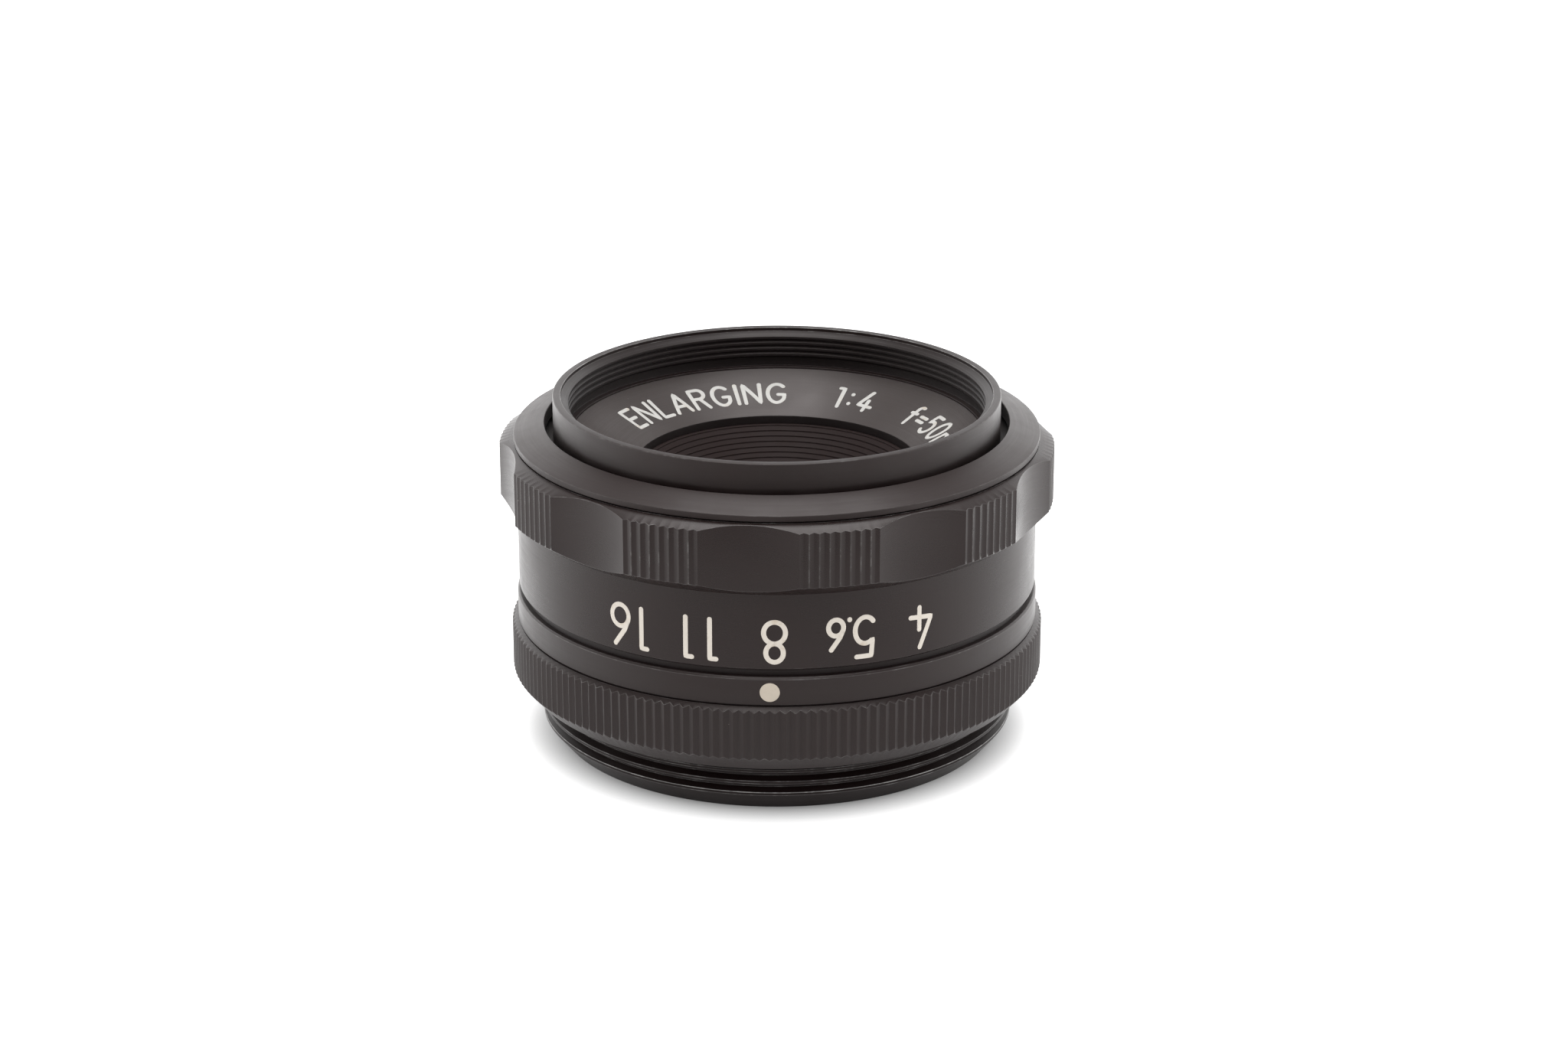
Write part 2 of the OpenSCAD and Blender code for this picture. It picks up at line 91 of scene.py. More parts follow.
# Click stop: the ball's side, the angle between stops, and the hollows in the ring's bore.
BALL_SIDE = 90
STOP_STEP = 16
HOLLOW_R = 0.87
HOLLOW_AT_R = 18.38
HOLLOW_Z = 18.2

# The name ring's cone starts at its hole.
NAME_HOLE_R = 11.5
NAME_HOLE_Z = 22.96


# ---- turned meshes ------------------------------------------------------------------

def rounded(outline, radius=0.06):
    """Closed outline with each corner turned into a small arc, as (r, z, how worn).

    A corner is (r, z), and may add its own radius and how worn its edge is.
    """
    steps, too_small = 4, 0.004
    points = []
    count = len(outline)
    for i in range(count):
        corner = Vector(outline[i][:2])
        own = outline[i][2] if len(outline[i]) > 2 else radius
        worn = outline[i][3] if len(outline[i]) > 3 else 0.5
        back = Vector(outline[i - 1][:2]) - corner
        ahead = Vector(outline[(i + 1) % count][:2]) - corner
        cut = min(own, back.length * 0.45, ahead.length * 0.45)
        if cut < too_small:
            points.append((corner.x, corner.y, worn))
            continue
        start = corner + back.normalized() * cut
        end = corner + ahead.normalized() * cut
        for k in range(steps + 1):
            t = k / steps
            p = start.lerp(corner, t).lerp(corner.lerp(end, t), t)
            points.append((p.x, p.y, worn * (1.0 - abs(2 * t - 1))))
    return points


def even_angles(count):
    return [360.0 * i / count for i in range(count)]


def placed(radius, angle, height):
    """Point in metres at a radius and height in millimetres, and an angle from the dot."""
    a = math.radians(angle)
    return (radius * math.sin(a) * MM, -radius * math.cos(a) * MM, height * MM)


def finished(name, bm, smooth_angle=SMOOTH_ANGLE):
    """Object from a bmesh, with outward faces and smooth shading up to an angle."""
    bmesh.ops.remove_doubles(bm, verts=bm.verts, dist=1e-7)
    bmesh.ops.recalc_face_normals(bm, faces=bm.faces)
    mesh = bpy.data.meshes.new(name)
    bm.to_mesh(mesh)
    bm.free()
    mesh.shade_smooth()
    mesh.set_sharp_from_angle(angle=math.radians(smooth_angle))
    obj = bpy.data.objects.new(name, mesh)
    bpy.context.scene.collection.objects.link(obj)
    return obj


def swept(name, outline_at, angles, smooth_angle=SMOOTH_ANGLE):
    """Mesh swept round the axis. outline_at(angle) gives the closed outline there."""
    bm = bmesh.new()
    edge = bm.verts.layers.float.new("edge")
    columns = []
    for angle in angles:
        column = []
        for r, z, worn in outline_at(angle):
            vert = bm.verts.new(placed(r, angle, z))
            vert[edge] = worn
            column.append(vert)
        columns.append(column)
    rows = len(columns[0])
    for i in range(len(columns)):
        here, there = columns[i - 1], columns[i]
        for k in range(rows):
            bm.faces.new((here[k - 1], here[k], there[k], there[k - 1]))
    return finished(name, bm, smooth_angle)


def turned(name, outline, columns=360):
    """Turned piece from its closed outline."""
    points = rounded(outline)
    return swept(name, lambda angle: points, even_angles(columns))


def radial_cutter(radius, from_r, to_r, height, angle):
    """Bar that runs outward, to cut a screw hole."""
    bm = bmesh.new()
    bmesh.ops.create_cone(
        bm, cap_ends=True, segments=48, radius1=radius * MM, radius2=radius * MM,
        depth=(to_r - from_r) * MM)
    bar = finished("cutter", bm)
    bar.rotation_euler = (math.pi / 2, 0, math.radians(angle))
    bar.location = placed((from_r + to_r) / 2, angle, height)
    return bar


def ball_cutter(radius, at_r, height, angle):
    """Ball, to cut a click hollow."""
    bm = bmesh.new()
    bmesh.ops.create_uvsphere(bm, u_segments=48, v_segments=24, radius=radius * MM)
    ball = finished("cutter", bm)
    ball.location = placed(at_r, angle, height)
    return ball


def with_holes(obj, cutters):
    """Cuts each cutter out of the piece and removes it."""
    for cutter in cutters:
        mod = obj.modifiers.new("hole", "BOOLEAN")
        mod.object = cutter
        mod.solver = "EXACT"
        bpy.context.view_layer.objects.active = obj
        bpy.context.view_layer.update()
        bpy.ops.object.modifier_apply(modifier=mod.name)
        bpy.data.objects.remove(cutter)
    obj.data.set_sharp_from_angle(angle=math.radians(SMOOTH_ANGLE))
    return obj


def dress(piece, body, slot, material, *nodes):
    """Gives a piece its body and material, and hides the CAD nodes that it stands for."""
    piece.data.materials.clear()
    piece.data.materials.append(material)
    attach(piece, body)
    if nodes:
        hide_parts(*nodes)
    return piece


def repaint(obj, radius, low, high, material):
    """Gives the faces inside a radius, between two heights, a material of their own."""
    obj.data.materials.append(material)
    last = len(obj.data.materials) - 1
    for face in obj.data.polygons:
        x, y, z = face.center / MM
        if math.hypot(x, y) < radius and low < z < high:
            face.material_index = last


# ---- materials ----------------------------------------------------------------------

BUMP_DEPTH = 0.00002


class Tree:
    """Short way to add nodes to a material or a world and join them."""

    def __init__(self, owner):
        owner.use_nodes = True
        self.tree = owner.node_tree
        self.tree.nodes.clear()

    def add(self, kind, inputs=None, **settings):
        item = self.tree.nodes.new(kind)
        for key, value in settings.items():
            setattr(item, key, value)
        for key, value in (inputs or {}).items():
            if isinstance(value, bpy.types.NodeSocket):
                self.tree.links.new(value, item.inputs[key])
            else:
                item.inputs[key].default_value = value
        return item

    def maths(self, operation, a, b=0.0, clamp=False):
        item = self.add("ShaderNodeMath", {0: a, 1: b}, operation=operation, use_clamp=clamp)
        return item.outputs[0]

    def radius(self, split):
        """Distance from the Z axis of a separated position."""
        x2 = self.maths("MULTIPLY", split.outputs[0], split.outputs[0])
        y2 = self.maths("MULTIPLY", split.outputs[1], split.outputs[1])
        return self.maths("SQRT", self.maths("ADD", x2, y2))

    def ramp(self, value, low, high, to_low=0.0, to_high=1.0):
        item = self.add("ShaderNodeMapRange", {
            "Value": value, "From Min": low, "From Max": high, "To Min": to_low, "To Max": to_high})
        return item.outputs[0]

    def mix(self, factor, a, b):
        item = self.add("ShaderNodeMix", data_type="RGBA")
        for key, value in ((0, factor), (6, a), (7, b)):
            if isinstance(value, bpy.types.NodeSocket):
                self.tree.links.new(value, item.inputs[key])
            else:
                item.inputs[key].default_value = value
        return item.outputs[2]

    def noise(self, vector, size_mm, detail=2.0, roughness=0.5):
        item = self.add("ShaderNodeTexNoise", {
            "Vector": vector, "Scale": 1000.0 / size_mm, "Detail": detail, "Roughness": roughness})
        return item.outputs["Fac"]

    def principled(self, inputs):
        """Principled shader with these inputs, joined to the material's output."""
        shader = self.add("ShaderNodeBsdfPrincipled", inputs)
        self.add("ShaderNodeOutputMaterial", {0: shader.outputs[0]})


def grey(level, warmth=0.0):
    return (level * (1 + warmth), level, level * (1 - warmth), 1)


def brown(level):
    """Black that leans to brown, as old anodising does."""
    return (level + min(level, 0.006), level, level * 0.92, 1)


def turned_coords(t, spread=0.02):
    """Object coordinates, and the same squeezed along the turning marks."""
    plain = t.add("ShaderNodeTexCoord").outputs["Object"]
    split = t.add("ShaderNodeSeparateXYZ", {0: plain})
    along = t.add("ShaderNodeCombineXYZ", {
        0: t.maths("MULTIPLY", split.outputs[0], spread),
        1: t.maths("MULTIPLY", split.outputs[1], spread),
        2: t.maths("ADD", t.radius(split), split.outputs[2])})
    return plain, along.outputs[0]


def specks(t, plain, cell_mm, size_mm, share):
    """Scattered small dots: 1 on a dot and 0 between them."""
    cells = t.add("ShaderNodeTexVoronoi", {
        "Vector": plain, "Scale": 1000.0 / cell_mm, "Randomness": 1.0})
    near = t.maths("LESS_THAN", cells.outputs["Distance"], size_mm / cell_mm)
    pick = t.add("ShaderNodeSeparateColor", {0: cells.outputs["Color"]})
    chosen = t.maths("LESS_THAN", pick.outputs[0], share)
    return t.maths("MULTIPLY", near, chosen)


def anodised(name, level=0.0045, rough=0.36, gloss=0.33, brushed=0.8, lines=0.35, grain=0.3,
             wear=0.4, dust=0.35):
    """Satin black anodised aluminium with turning marks, dust and lightly worn edges."""
    material = bpy.data.materials.new(name)
    t = Tree(material)
    plain, along = turned_coords(t)
    cloud = t.noise(plain, 4.0, 3.0, 0.6)
    fine = t.noise(plain, 0.09, 2.0, 0.6)
    marks = t.noise(along, 0.16, 3.0, 0.65)
    colour = t.mix(cloud, brown(level * 0.8), brown(level * 1.3))
    motes = specks(t, plain, 1.7, 0.03, 0.16 * dust)
    lint = specks(t, plain, 0.8, 0.018, 0.12 * dust)
    dirt = t.maths("MAXIMUM", motes, lint)
    colour = t.mix(t.maths("MULTIPLY", dirt, 0.8), colour, grey(0.32, 0.05))
    worn = t.add("ShaderNodeAttribute", attribute_name="edge").outputs["Fac"]
    patch = t.ramp(t.noise(plain, 1.6, 4.0, 0.7), 0.50, 0.68, 0.3, 1.0)
    bare = t.maths("MULTIPLY", t.maths("MULTIPLY", worn, patch), wear, clamp=True)
    colour = t.mix(bare, colour, grey(0.30, 0.02))
    rough_now = t.maths("ADD", t.ramp(cloud, 0.3, 0.7, rough - 0.04, rough + 0.05),
                        t.ramp(marks, 0.3, 0.7, -0.03, 0.03))
    height = t.maths("ADD", t.maths("MULTIPLY", marks, lines), t.maths("MULTIPLY", fine, grain))
    around = t.add("ShaderNodeTangent", direction_type="RADIAL", axis="Z").outputs[0]
    bump = t.add("ShaderNodeBump", {"Strength": 0.35, "Distance": BUMP_DEPTH, "Height": height})
    t.principled({
        "Base Color": colour, "Roughness": rough_now, "IOR": 1.5, "Specular IOR Level": gloss,
        "Specular Tint": (1.0, 0.95, 0.94, 1), "Anisotropic": brushed,
        "Anisotropic Rotation": 0.25, "Tangent": around,
        "Normal": bump.outputs[0]})
    return material


def metal(name, colour, rough=0.3):
    """Machined metal with fine tool marks and a little tarnish."""
    material = bpy.data.materials.new(name)
    t = Tree(material)
    plain, along = turned_coords(t, 0.1)
    cloud = t.noise(plain, 1.4, 4.0, 0.6)
    marks = t.noise(along, 0.09, 3.0, 0.7)
    dark = tuple(c * 0.72 for c in colour[:3]) + (1,)
    shade = t.mix(t.ramp(cloud, 0.35, 0.7), colour, dark)
    rough_now = t.maths("ADD", t.ramp(cloud, 0.3, 0.7, rough - 0.06, rough + 0.1),
                        t.ramp(marks, 0.3, 0.7, -0.05, 0.05))
    bump = t.add("ShaderNodeBump", {
        "Strength": 0.2, "Distance": BUMP_DEPTH, "Height": marks})
    t.principled({
        "Base Color": shade, "Metallic": 1.0, "Roughness": rough_now, "Normal": bump.outputs[0]})
    return material


def enamel(name, colour):
    """Cream paint in the engraved figures, a little grubby and uneven."""
    material = bpy.data.materials.new(name)
    t = Tree(material)
    plain = t.add("ShaderNodeTexCoord").outputs["Object"]
    cloud = t.noise(plain, 0.5, 4.0, 0.65)
    stain = t.ramp(t.noise(plain, 0.9, 3.0, 0.6), 0.58, 0.75)
    soft = tuple(c * 0.86 for c in colour[:3]) + (1,)
    shade = t.mix(cloud, colour, soft)
    shade = t.mix(t.maths("MULTIPLY", stain, 0.45), shade, (0.33, 0.24, 0.14, 1))
    pits = specks(t, plain, 0.35, 0.02, 0.25)
    shade = t.mix(t.maths("MULTIPLY", pits, 0.7), shade, grey(0.06))
    bump = t.add("ShaderNodeBump", {"Strength": 0.5, "Distance": BUMP_DEPTH, "Height": cloud})
    t.principled({
        "Base Color": shade, "Roughness": t.ramp(cloud, 0.3, 0.7, 0.42, 0.62),
        "Normal": bump.outputs[0]})
    return material


def glass(name, tint, coat):
    """Coated optical glass with faint cleaning marks."""
    material = bpy.data.materials.new(name)
    t = Tree(material)
    plain = t.add("ShaderNodeTexCoord").outputs["Object"]
    haze = t.noise(plain, 1.2, 5.0, 0.7)
    t.principled({
        "Base Color": tint, "Roughness": t.ramp(haze, 0.5, 0.9, 0.0, 0.05), "IOR": 1.6,
        "Transmission Weight": 1.0, "Specular IOR Level": 0.2, "Specular Tint": coat})
    return material


SATIN = anodised("satin_black")
SATIN_GRIP = anodised("satin_black_grip", rough=0.29, gloss=0.28, brushed=0.3, grain=0.5, wear=0.5)
SATIN_CAP = anodised("satin_black_cap", level=0.0055, rough=0.4, lines=0.6, wear=0.35)
NAME_BLACK = anodised("name_ring_black", level=0.015, rough=0.50, gloss=0.64, brushed=0.9,
                      lines=0.7, wear=0.15, dust=0.15)
# Darker black: the own colour of the inner parts. Where it is laid on the front ring's filter
# thread and in the name ring's bore, it is painted shade.
INNER_BLACK_AND_RECESS_SHADE = anodised("inner_black", level=0.003, rough=0.45, gloss=0.3, wear=0.2, dust=0.1)
LIP_BLACK = anodised("lip_black", gloss=0.2, wear=1.0)
# Painted shade: a darker, less glossy copy of the satin black for the thread under the flange,
# where shade falls; its strong edge wear is real wear.
THREAD_SHADED_BLACK = anodised("thread_black_painted_shade", level=0.003, rough=0.34, gloss=0.155, wear=1.3, dust=0.2)
BAFFLE_BLACK = anodised("baffle_black", level=0.005, rough=0.65, gloss=0.13, brushed=0.4, wear=0.05,
                        dust=0.1)
CREAM = enamel("index_paint", (0.475, 0.415, 0.34, 1))
WHITE_FILL = enamel("scale_paint", (0.60, 0.55, 0.485, 1))
LETTER_FILL = enamel("letter_paint", (0.42, 0.41, 0.39, 1))
DARK_STEEL = metal("dark_steel", (0.10, 0.10, 0.105, 1), 0.38)
BRIGHT_STEEL = metal("bright_steel", (0.62, 0.62, 0.64, 1), 0.22)
BRONZE = metal("spring_bronze", (0.60, 0.42, 0.22, 1), 0.3)
BRASS = metal("brass", (0.62, 0.47, 0.22, 1), 0.3)
BLADE_STEEL = metal("blade_steel", (0.055, 0.055, 0.06, 1), 0.42)
FRONT_GLASS = glass("front_glass", (0.97, 0.98, 1.0, 1), (0.26, 0.15, 0.36, 1))
INNER_GLASS = glass("inner_glass", (0.98, 0.99, 0.98, 1), (0.35, 0.25, 0.12, 1))

SLOT_LOOKS = {
    "inner_black": INNER_BLACK_AND_RECESS_SHADE, "dark_steel": DARK_STEEL, "bright_steel": BRIGHT_STEEL,
    "spring_bronze": BRONZE, "brass": BRASS, "blade_steel": BLADE_STEEL, "glass": INNER_GLASS,
    "satin_black": SATIN, "name_ring_black": NAME_BLACK, "baffle_black": BAFFLE_BLACK,
    "index_paint": CREAM,
}


# ---- mount base ---------------------------------------------------------------------

def thread_outline():
    """Crests of the enlarger thread, from the rear up."""
    land, depth, lead = 0.24, 0.55, 1.6
    points = []
    for i in range(3):
        low = lead + i * THREAD_PITCH
        root = low + land + (THREAD_PITCH - land) / 2
        points += [(THREAD_R, low, 0.05), (THREAD_R, low + land, 0.05, 2.0 if i == 0 else 0.6)]
        points += [(THREAD_R - depth, root - 0.06, 0.03), (THREAD_R - depth, root + 0.06, 0.03)]
    return points


def v_cuts(centres, half_mm, depth, at_r):
    """Columns and radial cuts of V grooves: (angle, depth) pairs, with soft corners."""
    per_mm = 180 / math.pi / at_r
    soft = 0.022
    rim_cut = soft * depth / half_mm * 0.8
    deep_cut = depth * (1 - 0.9 * soft / half_mm)
    shape = [
        (-half_mm - soft, 0.0), (-half_mm + soft, rim_cut), (-soft, deep_cut), (soft, deep_cut),
        (half_mm - soft, rim_cut), (half_mm + soft, 0.0)]
    return [(c + offset * per_mm, cut) for c in centres for offset, cut in shape]


def clipped_wall(limit, low_start, low_corner, high_corner, high_end, soft=0.05, worn=0.0):
    """Wall between two chamfers, cut back to a radius, with its two corners softened."""
    low_t = (limit - low_start[0]) / (low_corner[0] - low_start[0])
    low = Vector(low_start).lerp(Vector(low_corner), low_t)
    high_t = (limit - high_end[0]) / (high_corner[0] - high_end[0])
    high = Vector(high_end).lerp(Vector(high_corner), high_t)
    down = (Vector(low_start) - low).normalized() * soft
    up = (Vector(high_end) - high).normalized() * soft
    wall = Vector((0, soft))
    return [
        (low.x + down.x, low.y + down.y, 0.0),
        (low.x + (down.x + wall.x) * 0.25, low.y + (down.y + wall.y) * 0.25, 1.0),
        (low.x, low.y + soft, worn),
        (high.x, high.y - soft, worn),
        (high.x + (up.x - wall.x) * 0.25, high.y + (up.y - wall.y) * 0.25, 1.0),
        (high.x + up.x, high.y + up.y, 0.0)]


def make_base():
    lip_r, bore_r, lip_top = 16.8, 17.5, 2.4
    flange_r, flange_z, knurl_low, knurl_high, band_low = 20.7, 4.45, 5.82, 9.66, 10.0
    tooth_half, tooth_depth = 0.375, 0.25
    below = rounded([
        (lip_r, BASE_LOW, 0.1), (18.15, BASE_LOW, 0.12, 0.8), *thread_outline(),
        (18.6, 4.2, 0.05), (18.6, flange_z + 0.07, 0.02), (19.62, flange_z + 0.07, 0.02),
        (19.62, flange_z, 0.02), (flange_r, flange_z, 0.06)], 0.05)
    above = rounded([
        (BAND_R, band_low, 0.04), (21.2, 10.03, 0.01), (21.2, 10.15, 0.01), (BAND_R, 10.18, 0.03),
        (BAND_R, BASE_TOP - 0.16, 0.05, 0.9), (BAND_R - 0.14, BASE_TOP, 0.05, 0.7),
        (bore_r, BASE_TOP, 0.02), (bore_r, lip_top, 0.02), (lip_r, lip_top, 0.05)], 0.05)
    step = 360 / KNURL_TEETH
    teeth = [i * step for i in range(KNURL_TEETH)]
    cuts = v_cuts(teeth, tooth_half, tooth_depth, BASE_R)
    depth_at = dict(cuts)

    def outline(angle):
        wall = clipped_wall(
            BASE_R - depth_at[angle], (flange_r, flange_z), (BASE_R, knurl_low),
            (BASE_R, knurl_high), (BAND_R, band_low), 0.04)
        return below + wall + above

    base = swept("base_ring", outline, [a for a, cut in cuts], 40)
    screw_r = 0.82
    return with_holes(
        base, [radial_cutter(screw_r, 17.4, 22.5, DOT_Z, side) for side in SET_SCREW_SIDES])


# ---- aperture ring ------------------------------------------------------------------

def grip_cuts():
    """Grip columns as (angle, radial cut, how worn): V flutes in groups, hollows between."""
    step, flute_step, first = 360 / SCALLOPS, 2.05, 13.9
    valley, soft, shoulder = 0.16, 0.06, 0.2
    shoulder_cut = valley * (shoulder - soft) / (flute_step / 2 - 2 * soft)
    hollow_r, overlap, beyond, half_count = 14.0, 0.18, 0.35, 16
    half_gap = (step - FLUTES * flute_step) / 2
    s, c = math.sin(math.radians(half_gap + beyond)), math.cos(math.radians(half_gap + beyond))
    away = GRIP_R * c + math.sqrt(hollow_r ** 2 - (GRIP_R * s) ** 2)
    columns = []
    for k in range(SCALLOPS):
        hollow = first + (k - 0.5) * step
        start = hollow + half_gap
        for i in range(2 * half_count + 1):
            offset = (half_gap + overlap) * (i / half_count - 1)
            s, c = math.sin(math.radians(offset)), math.cos(math.radians(offset))
            r = away * c - math.sqrt(hollow_r ** 2 - (away * s) ** 2)
            columns.append((hollow + offset, GRIP_R - r, 0.0))
        for j in range(FLUTES):
            at = start + j * flute_step
            if j > 0:
                columns += [
                    (at - shoulder, shoulder_cut, 0.0), (at - soft, 0.0, 0.5),
                    (at + soft, 0.0, 0.5), (at + shoulder, shoulder_cut, 0.0)]
            middle = at + flute_step / 2
            columns += [(middle - soft, valley, 0.0), (middle + soft, valley, 0.0)]
    return columns


def make_aperture_ring():
    bore_r, counter_r, edge_r = 19.05, 20.9, 21.55
    skirt_low, skirt_high, grip_low, grip_high, counter_z = 13.15, 19.39, 20.34, 24.75, 24.25
    below = rounded([
        (bore_r, RING_LOW, 0.03), (21.0, RING_LOW, 0.03), (21.06, skirt_low, 0.02),
        (SKIRT_R, skirt_low, 0.06), (SKIRT_R, skirt_high, 0.1)], 0.05)
    above = rounded([
        (edge_r, RING_TOP, 0.07, 1.6), (counter_r, RING_TOP, 0.03), (counter_r, counter_z, 0.03),
        (bore_r, counter_z, 0.03)], 0.03)
    column_at = {angle: (cut, worn) for angle, cut, worn in grip_cuts()}

    def outline(angle):
        cut, worn = column_at[angle]
        wall = clipped_wall(
            GRIP_R - cut, (SKIRT_R, skirt_high), (GRIP_R, grip_low),
            (GRIP_R, grip_high), (edge_r, RING_TOP), 0.03, worn)
        return below + wall + above

    ring = swept("aperture_grip_ring", outline, list(column_at), 28)
    screw_r = 1.25
    cutters = [ball_cutter(HOLLOW_R, HOLLOW_AT_R, HOLLOW_Z, BALL_SIDE + stop * STOP_STEP)
               for stop in (-2, -1, 0, 1, 2)]
    cutters.append(radial_cutter(screw_r, 20.4, 23, DRIVE_Z, DRIVE_SIDE))
    return with_holes(ring, cutters)


def make_cap():
    inner_r, step_r = 20.88, CAP_R - 0.25
    return turned("bevelled_cap", [
        (18.98, 25.5, 0.03), (20.3, 25.5, 0.02), (20.3, CAP_LOW, 0.02),
        (inner_r, CAP_LOW, 0.02), (inner_r, RING_TOP, 0.01), (step_r, RING_TOP, 0.01),
        (step_r, RING_TOP + 0.13, 0.01), (CAP_R, RING_TOP + 0.13, 0.02), (CAP_R, 25.83, 0.06),
        (19.04, CAP_TOP, 0.06), (18.98, 26.62, 0.03)], columns=480)


# ---- front end ----------------------------------------------------------------------

def make_front_ring():
    threads = []
    for i in range(4):
        high = FRONT_TOP - 0.5 - i * FILTER_PITCH
        threads += [
            (FILTER_R + 0.25, high, 0.03), (FILTER_R, high - FILTER_PITCH * 0.3, 0.03),
            (FILTER_R, high - FILTER_PITCH * 0.7, 0.03)]
    return turned("front_rim", [
        (15.9, FRONT_LOW), (17.28, FRONT_LOW), (17.28, 24.9, 0.02), (FRONT_R, 24.9, 0.02),
        (FRONT_R, FRONT_TOP, 0.13, 0.3), (17.62, FRONT_TOP, 0.06, 1.4),
        (17.62, FRONT_TOP - 0.3, 0.05),
        *threads,
        (FILTER_R + 0.35, 26.3, 0.03), (FILTER_R + 0.35, 25.62, 0.03), (NAME_R + 0.02, 25.62, 0.03),
        (NAME_R + 0.02, 24.6, 0.02), (15.9, 24.6, 0.02)], columns=480)


def make_name_ring():
    return turned("name_cone", [
        (NAME_HOLE_R, NAME_LOW, 0.02), (15.2, 24.05, 0.03), (15.85, 24.6, 0.02),
        (NAME_R, 24.6, 0.02), (NAME_R, NAME_TOP, 0.08), (NAME_HOLE_R, NAME_HOLE_Z, 0.06)],
        columns=480)


def stepped(wide, narrow, steps, lean):
    """Light-trap steps between a wide and a narrow (radius, height), with leaning treads."""
    points = []
    for i in range(steps):
        a, b = i / steps, (i + 1) / steps
        z = wide[1] + (narrow[1] - wide[1]) * b
        rise = (wide[1] - narrow[1]) / steps * lean
        points.append((wide[0] + (narrow[0] - wide[0]) * a, z + rise, 0.02))
        points.append((wide[0] + (narrow[0] - wide[0]) * b, z, 0.03))
    return points


def make_front_baffle():
    return turned("light_trap", [
        (BAFFLE_R, BAFFLE_TOP, 0.03), (11.0, BAFFLE_TOP, 0.05),
        *stepped((11.0, BAFFLE_TOP), (6.95, 19.42), 9, 0.7),
        (7.05, BAFFLE_LOW, 0.02), (8.2, BAFFLE_LOW, 0.02), (10, 20.4, 0.02),
        (BAFFLE_R, 20.4, 0.02)])


def make_rear_baffle():
    return turned("rear_light_trap", [
        (REAR_BAFFLE_R, REAR_BAFFLE_LOW, 0.05), (14.2, REAR_BAFFLE_LOW, 0.04),
        *stepped((14.2, REAR_BAFFLE_LOW), (7.9, 6.35), 9, 0.3),
        (7.9, REAR_BAFFLE_TOP, 0.02), (8.6, REAR_BAFFLE_TOP, 0.02), (13, 5.4, 0.02),
        (REAR_BAFFLE_R, 5.4, 0.02)])


# ---- glass --------------------------------------------------------------------------

def cap_curve(vertex_z, curve_r, edge_r, steps=24):
    """Points of a spherical face from the axis out. A positive radius bulges to the front."""
    points = []
    for i in range(steps + 1):
        r = edge_r * i / steps
        sag = abs(curve_r) - math.sqrt(curve_r ** 2 - r ** 2)
        points.append((r, vertex_z - math.copysign(sag, curve_r), 0.0))
    return points


def make_lens(name, edge_r, front, back):
    """Glass element between two faces, each a vertex height and a radius of curvature."""
    top = cap_curve(front[0], front[1], edge_r)
    bottom = cap_curve(back[0], back[1], edge_r)
    outline = bottom + top[::-1]
    return swept(name, lambda angle: outline, even_angles(128), 50)


# ---- engraved figures ---------------------------------------------------------------

def bow(cx, cy, rx, ry, start, stop, steps=18):
    """Points along part of an ellipse, by angles in degrees from the right."""
    return [
        (cx + rx * math.cos(math.radians(start + (stop - start) * i / steps)),
         cy + ry * math.sin(math.radians(start + (stop - start) * i / steps)))
        for i in range(steps + 1)]


# Each figure: its width, and its strokes as lines of points in a box one unit high.
FIGURES = {
    "0": (0.52, [bow(0.26, 0.5, 0.25, 0.5, 90, 450, 32)]),
    "1": (0.20, [[(0.02, 0.985), (0.17, 0.985), (0.17, 0.0)]]),
    "4": (0.60, [[(0.34, 1.0), (0.03, 0.27), (0.60, 0.22)], [(0.36, 0.0), (0.36, 0.55)]]),
    "5": (0.50, [[(0.45, 0.98), (0.09, 0.98), (0.06, 0.57)] +
                 bow(0.24, 0.33, 0.25, 0.33, 125, -140, 26)]),
    "6": (0.50, [bow(0.25, 0.27, 0.24, 0.27, 150, 510, 30),
                 [(0.045, 0.40), (0.12, 0.60), (0.40, 1.0)]]),
    "8": (0.52, [bow(0.26, 0.77, 0.205, 0.23, -90, 270, 28),
                 bow(0.26, 0.27, 0.255, 0.27, 90, 450, 30)]),
    ".": (0.10, [[(0.05, 0.02), (0.05, 0.03)]]),
    ":": (0.12, [[(0.06, 0.22), (0.06, 0.24)], [(0.06, 0.72), (0.06, 0.74)]]),
    "=": (0.36, [[(0.0, 0.36), (0.36, 0.36)], [(0.0, 0.60), (0.36, 0.60)]]),
    "f": (0.34, [bow(0.27, 0.82, 0.14, 0.18, 70, 180, 10) + [(0.13, 0.0)],
                 [(0.0, 0.62), (0.28, 0.62)]]),
    "m": (0.66, [[(0.0, 0.0), (0.0, 0.62)],
                 bow(0.165, 0.45, 0.165, 0.19, 180, 0, 12) + [(0.33, 0.0)],
                 bow(0.495, 0.45, 0.165, 0.19, 180, 0, 12) + [(0.66, 0.0)]]),
    "A": (0.66, [[(0.0, 0.0), (0.33, 1.0), (0.66, 0.0)], [(0.12, 0.32), (0.54, 0.32)]]),
    "E": (0.50, [[(0.5, 1.0), (0.0, 1.0), (0.0, 0.0), (0.5, 0.0)], [(0.0, 0.52), (0.42, 0.52)]]),
    "G": (0.68, [bow(0.36, 0.5, 0.34, 0.5, 48, 325, 24) + [(0.66, 0.44), (0.42, 0.44)]]),
    "I": (0.02, [[(0.01, 0.0), (0.01, 1.0)]]),
    "L": (0.46, [[(0.0, 1.0), (0.0, 0.0), (0.46, 0.0)]]),
    "N": (0.60, [[(0.0, 0.0), (0.0, 1.0), (0.60, 0.0), (0.60, 1.0)]]),
    "R": (0.54, [[(0.0, 0.0), (0.0, 1.0), (0.30, 1.0)] + bow(0.30, 0.76, 0.22, 0.24, 90, -90, 14) +
                 [(0.0, 0.52)], [(0.28, 0.52), (0.54, 0.0)]]),
    " ": (0.40, []),
}


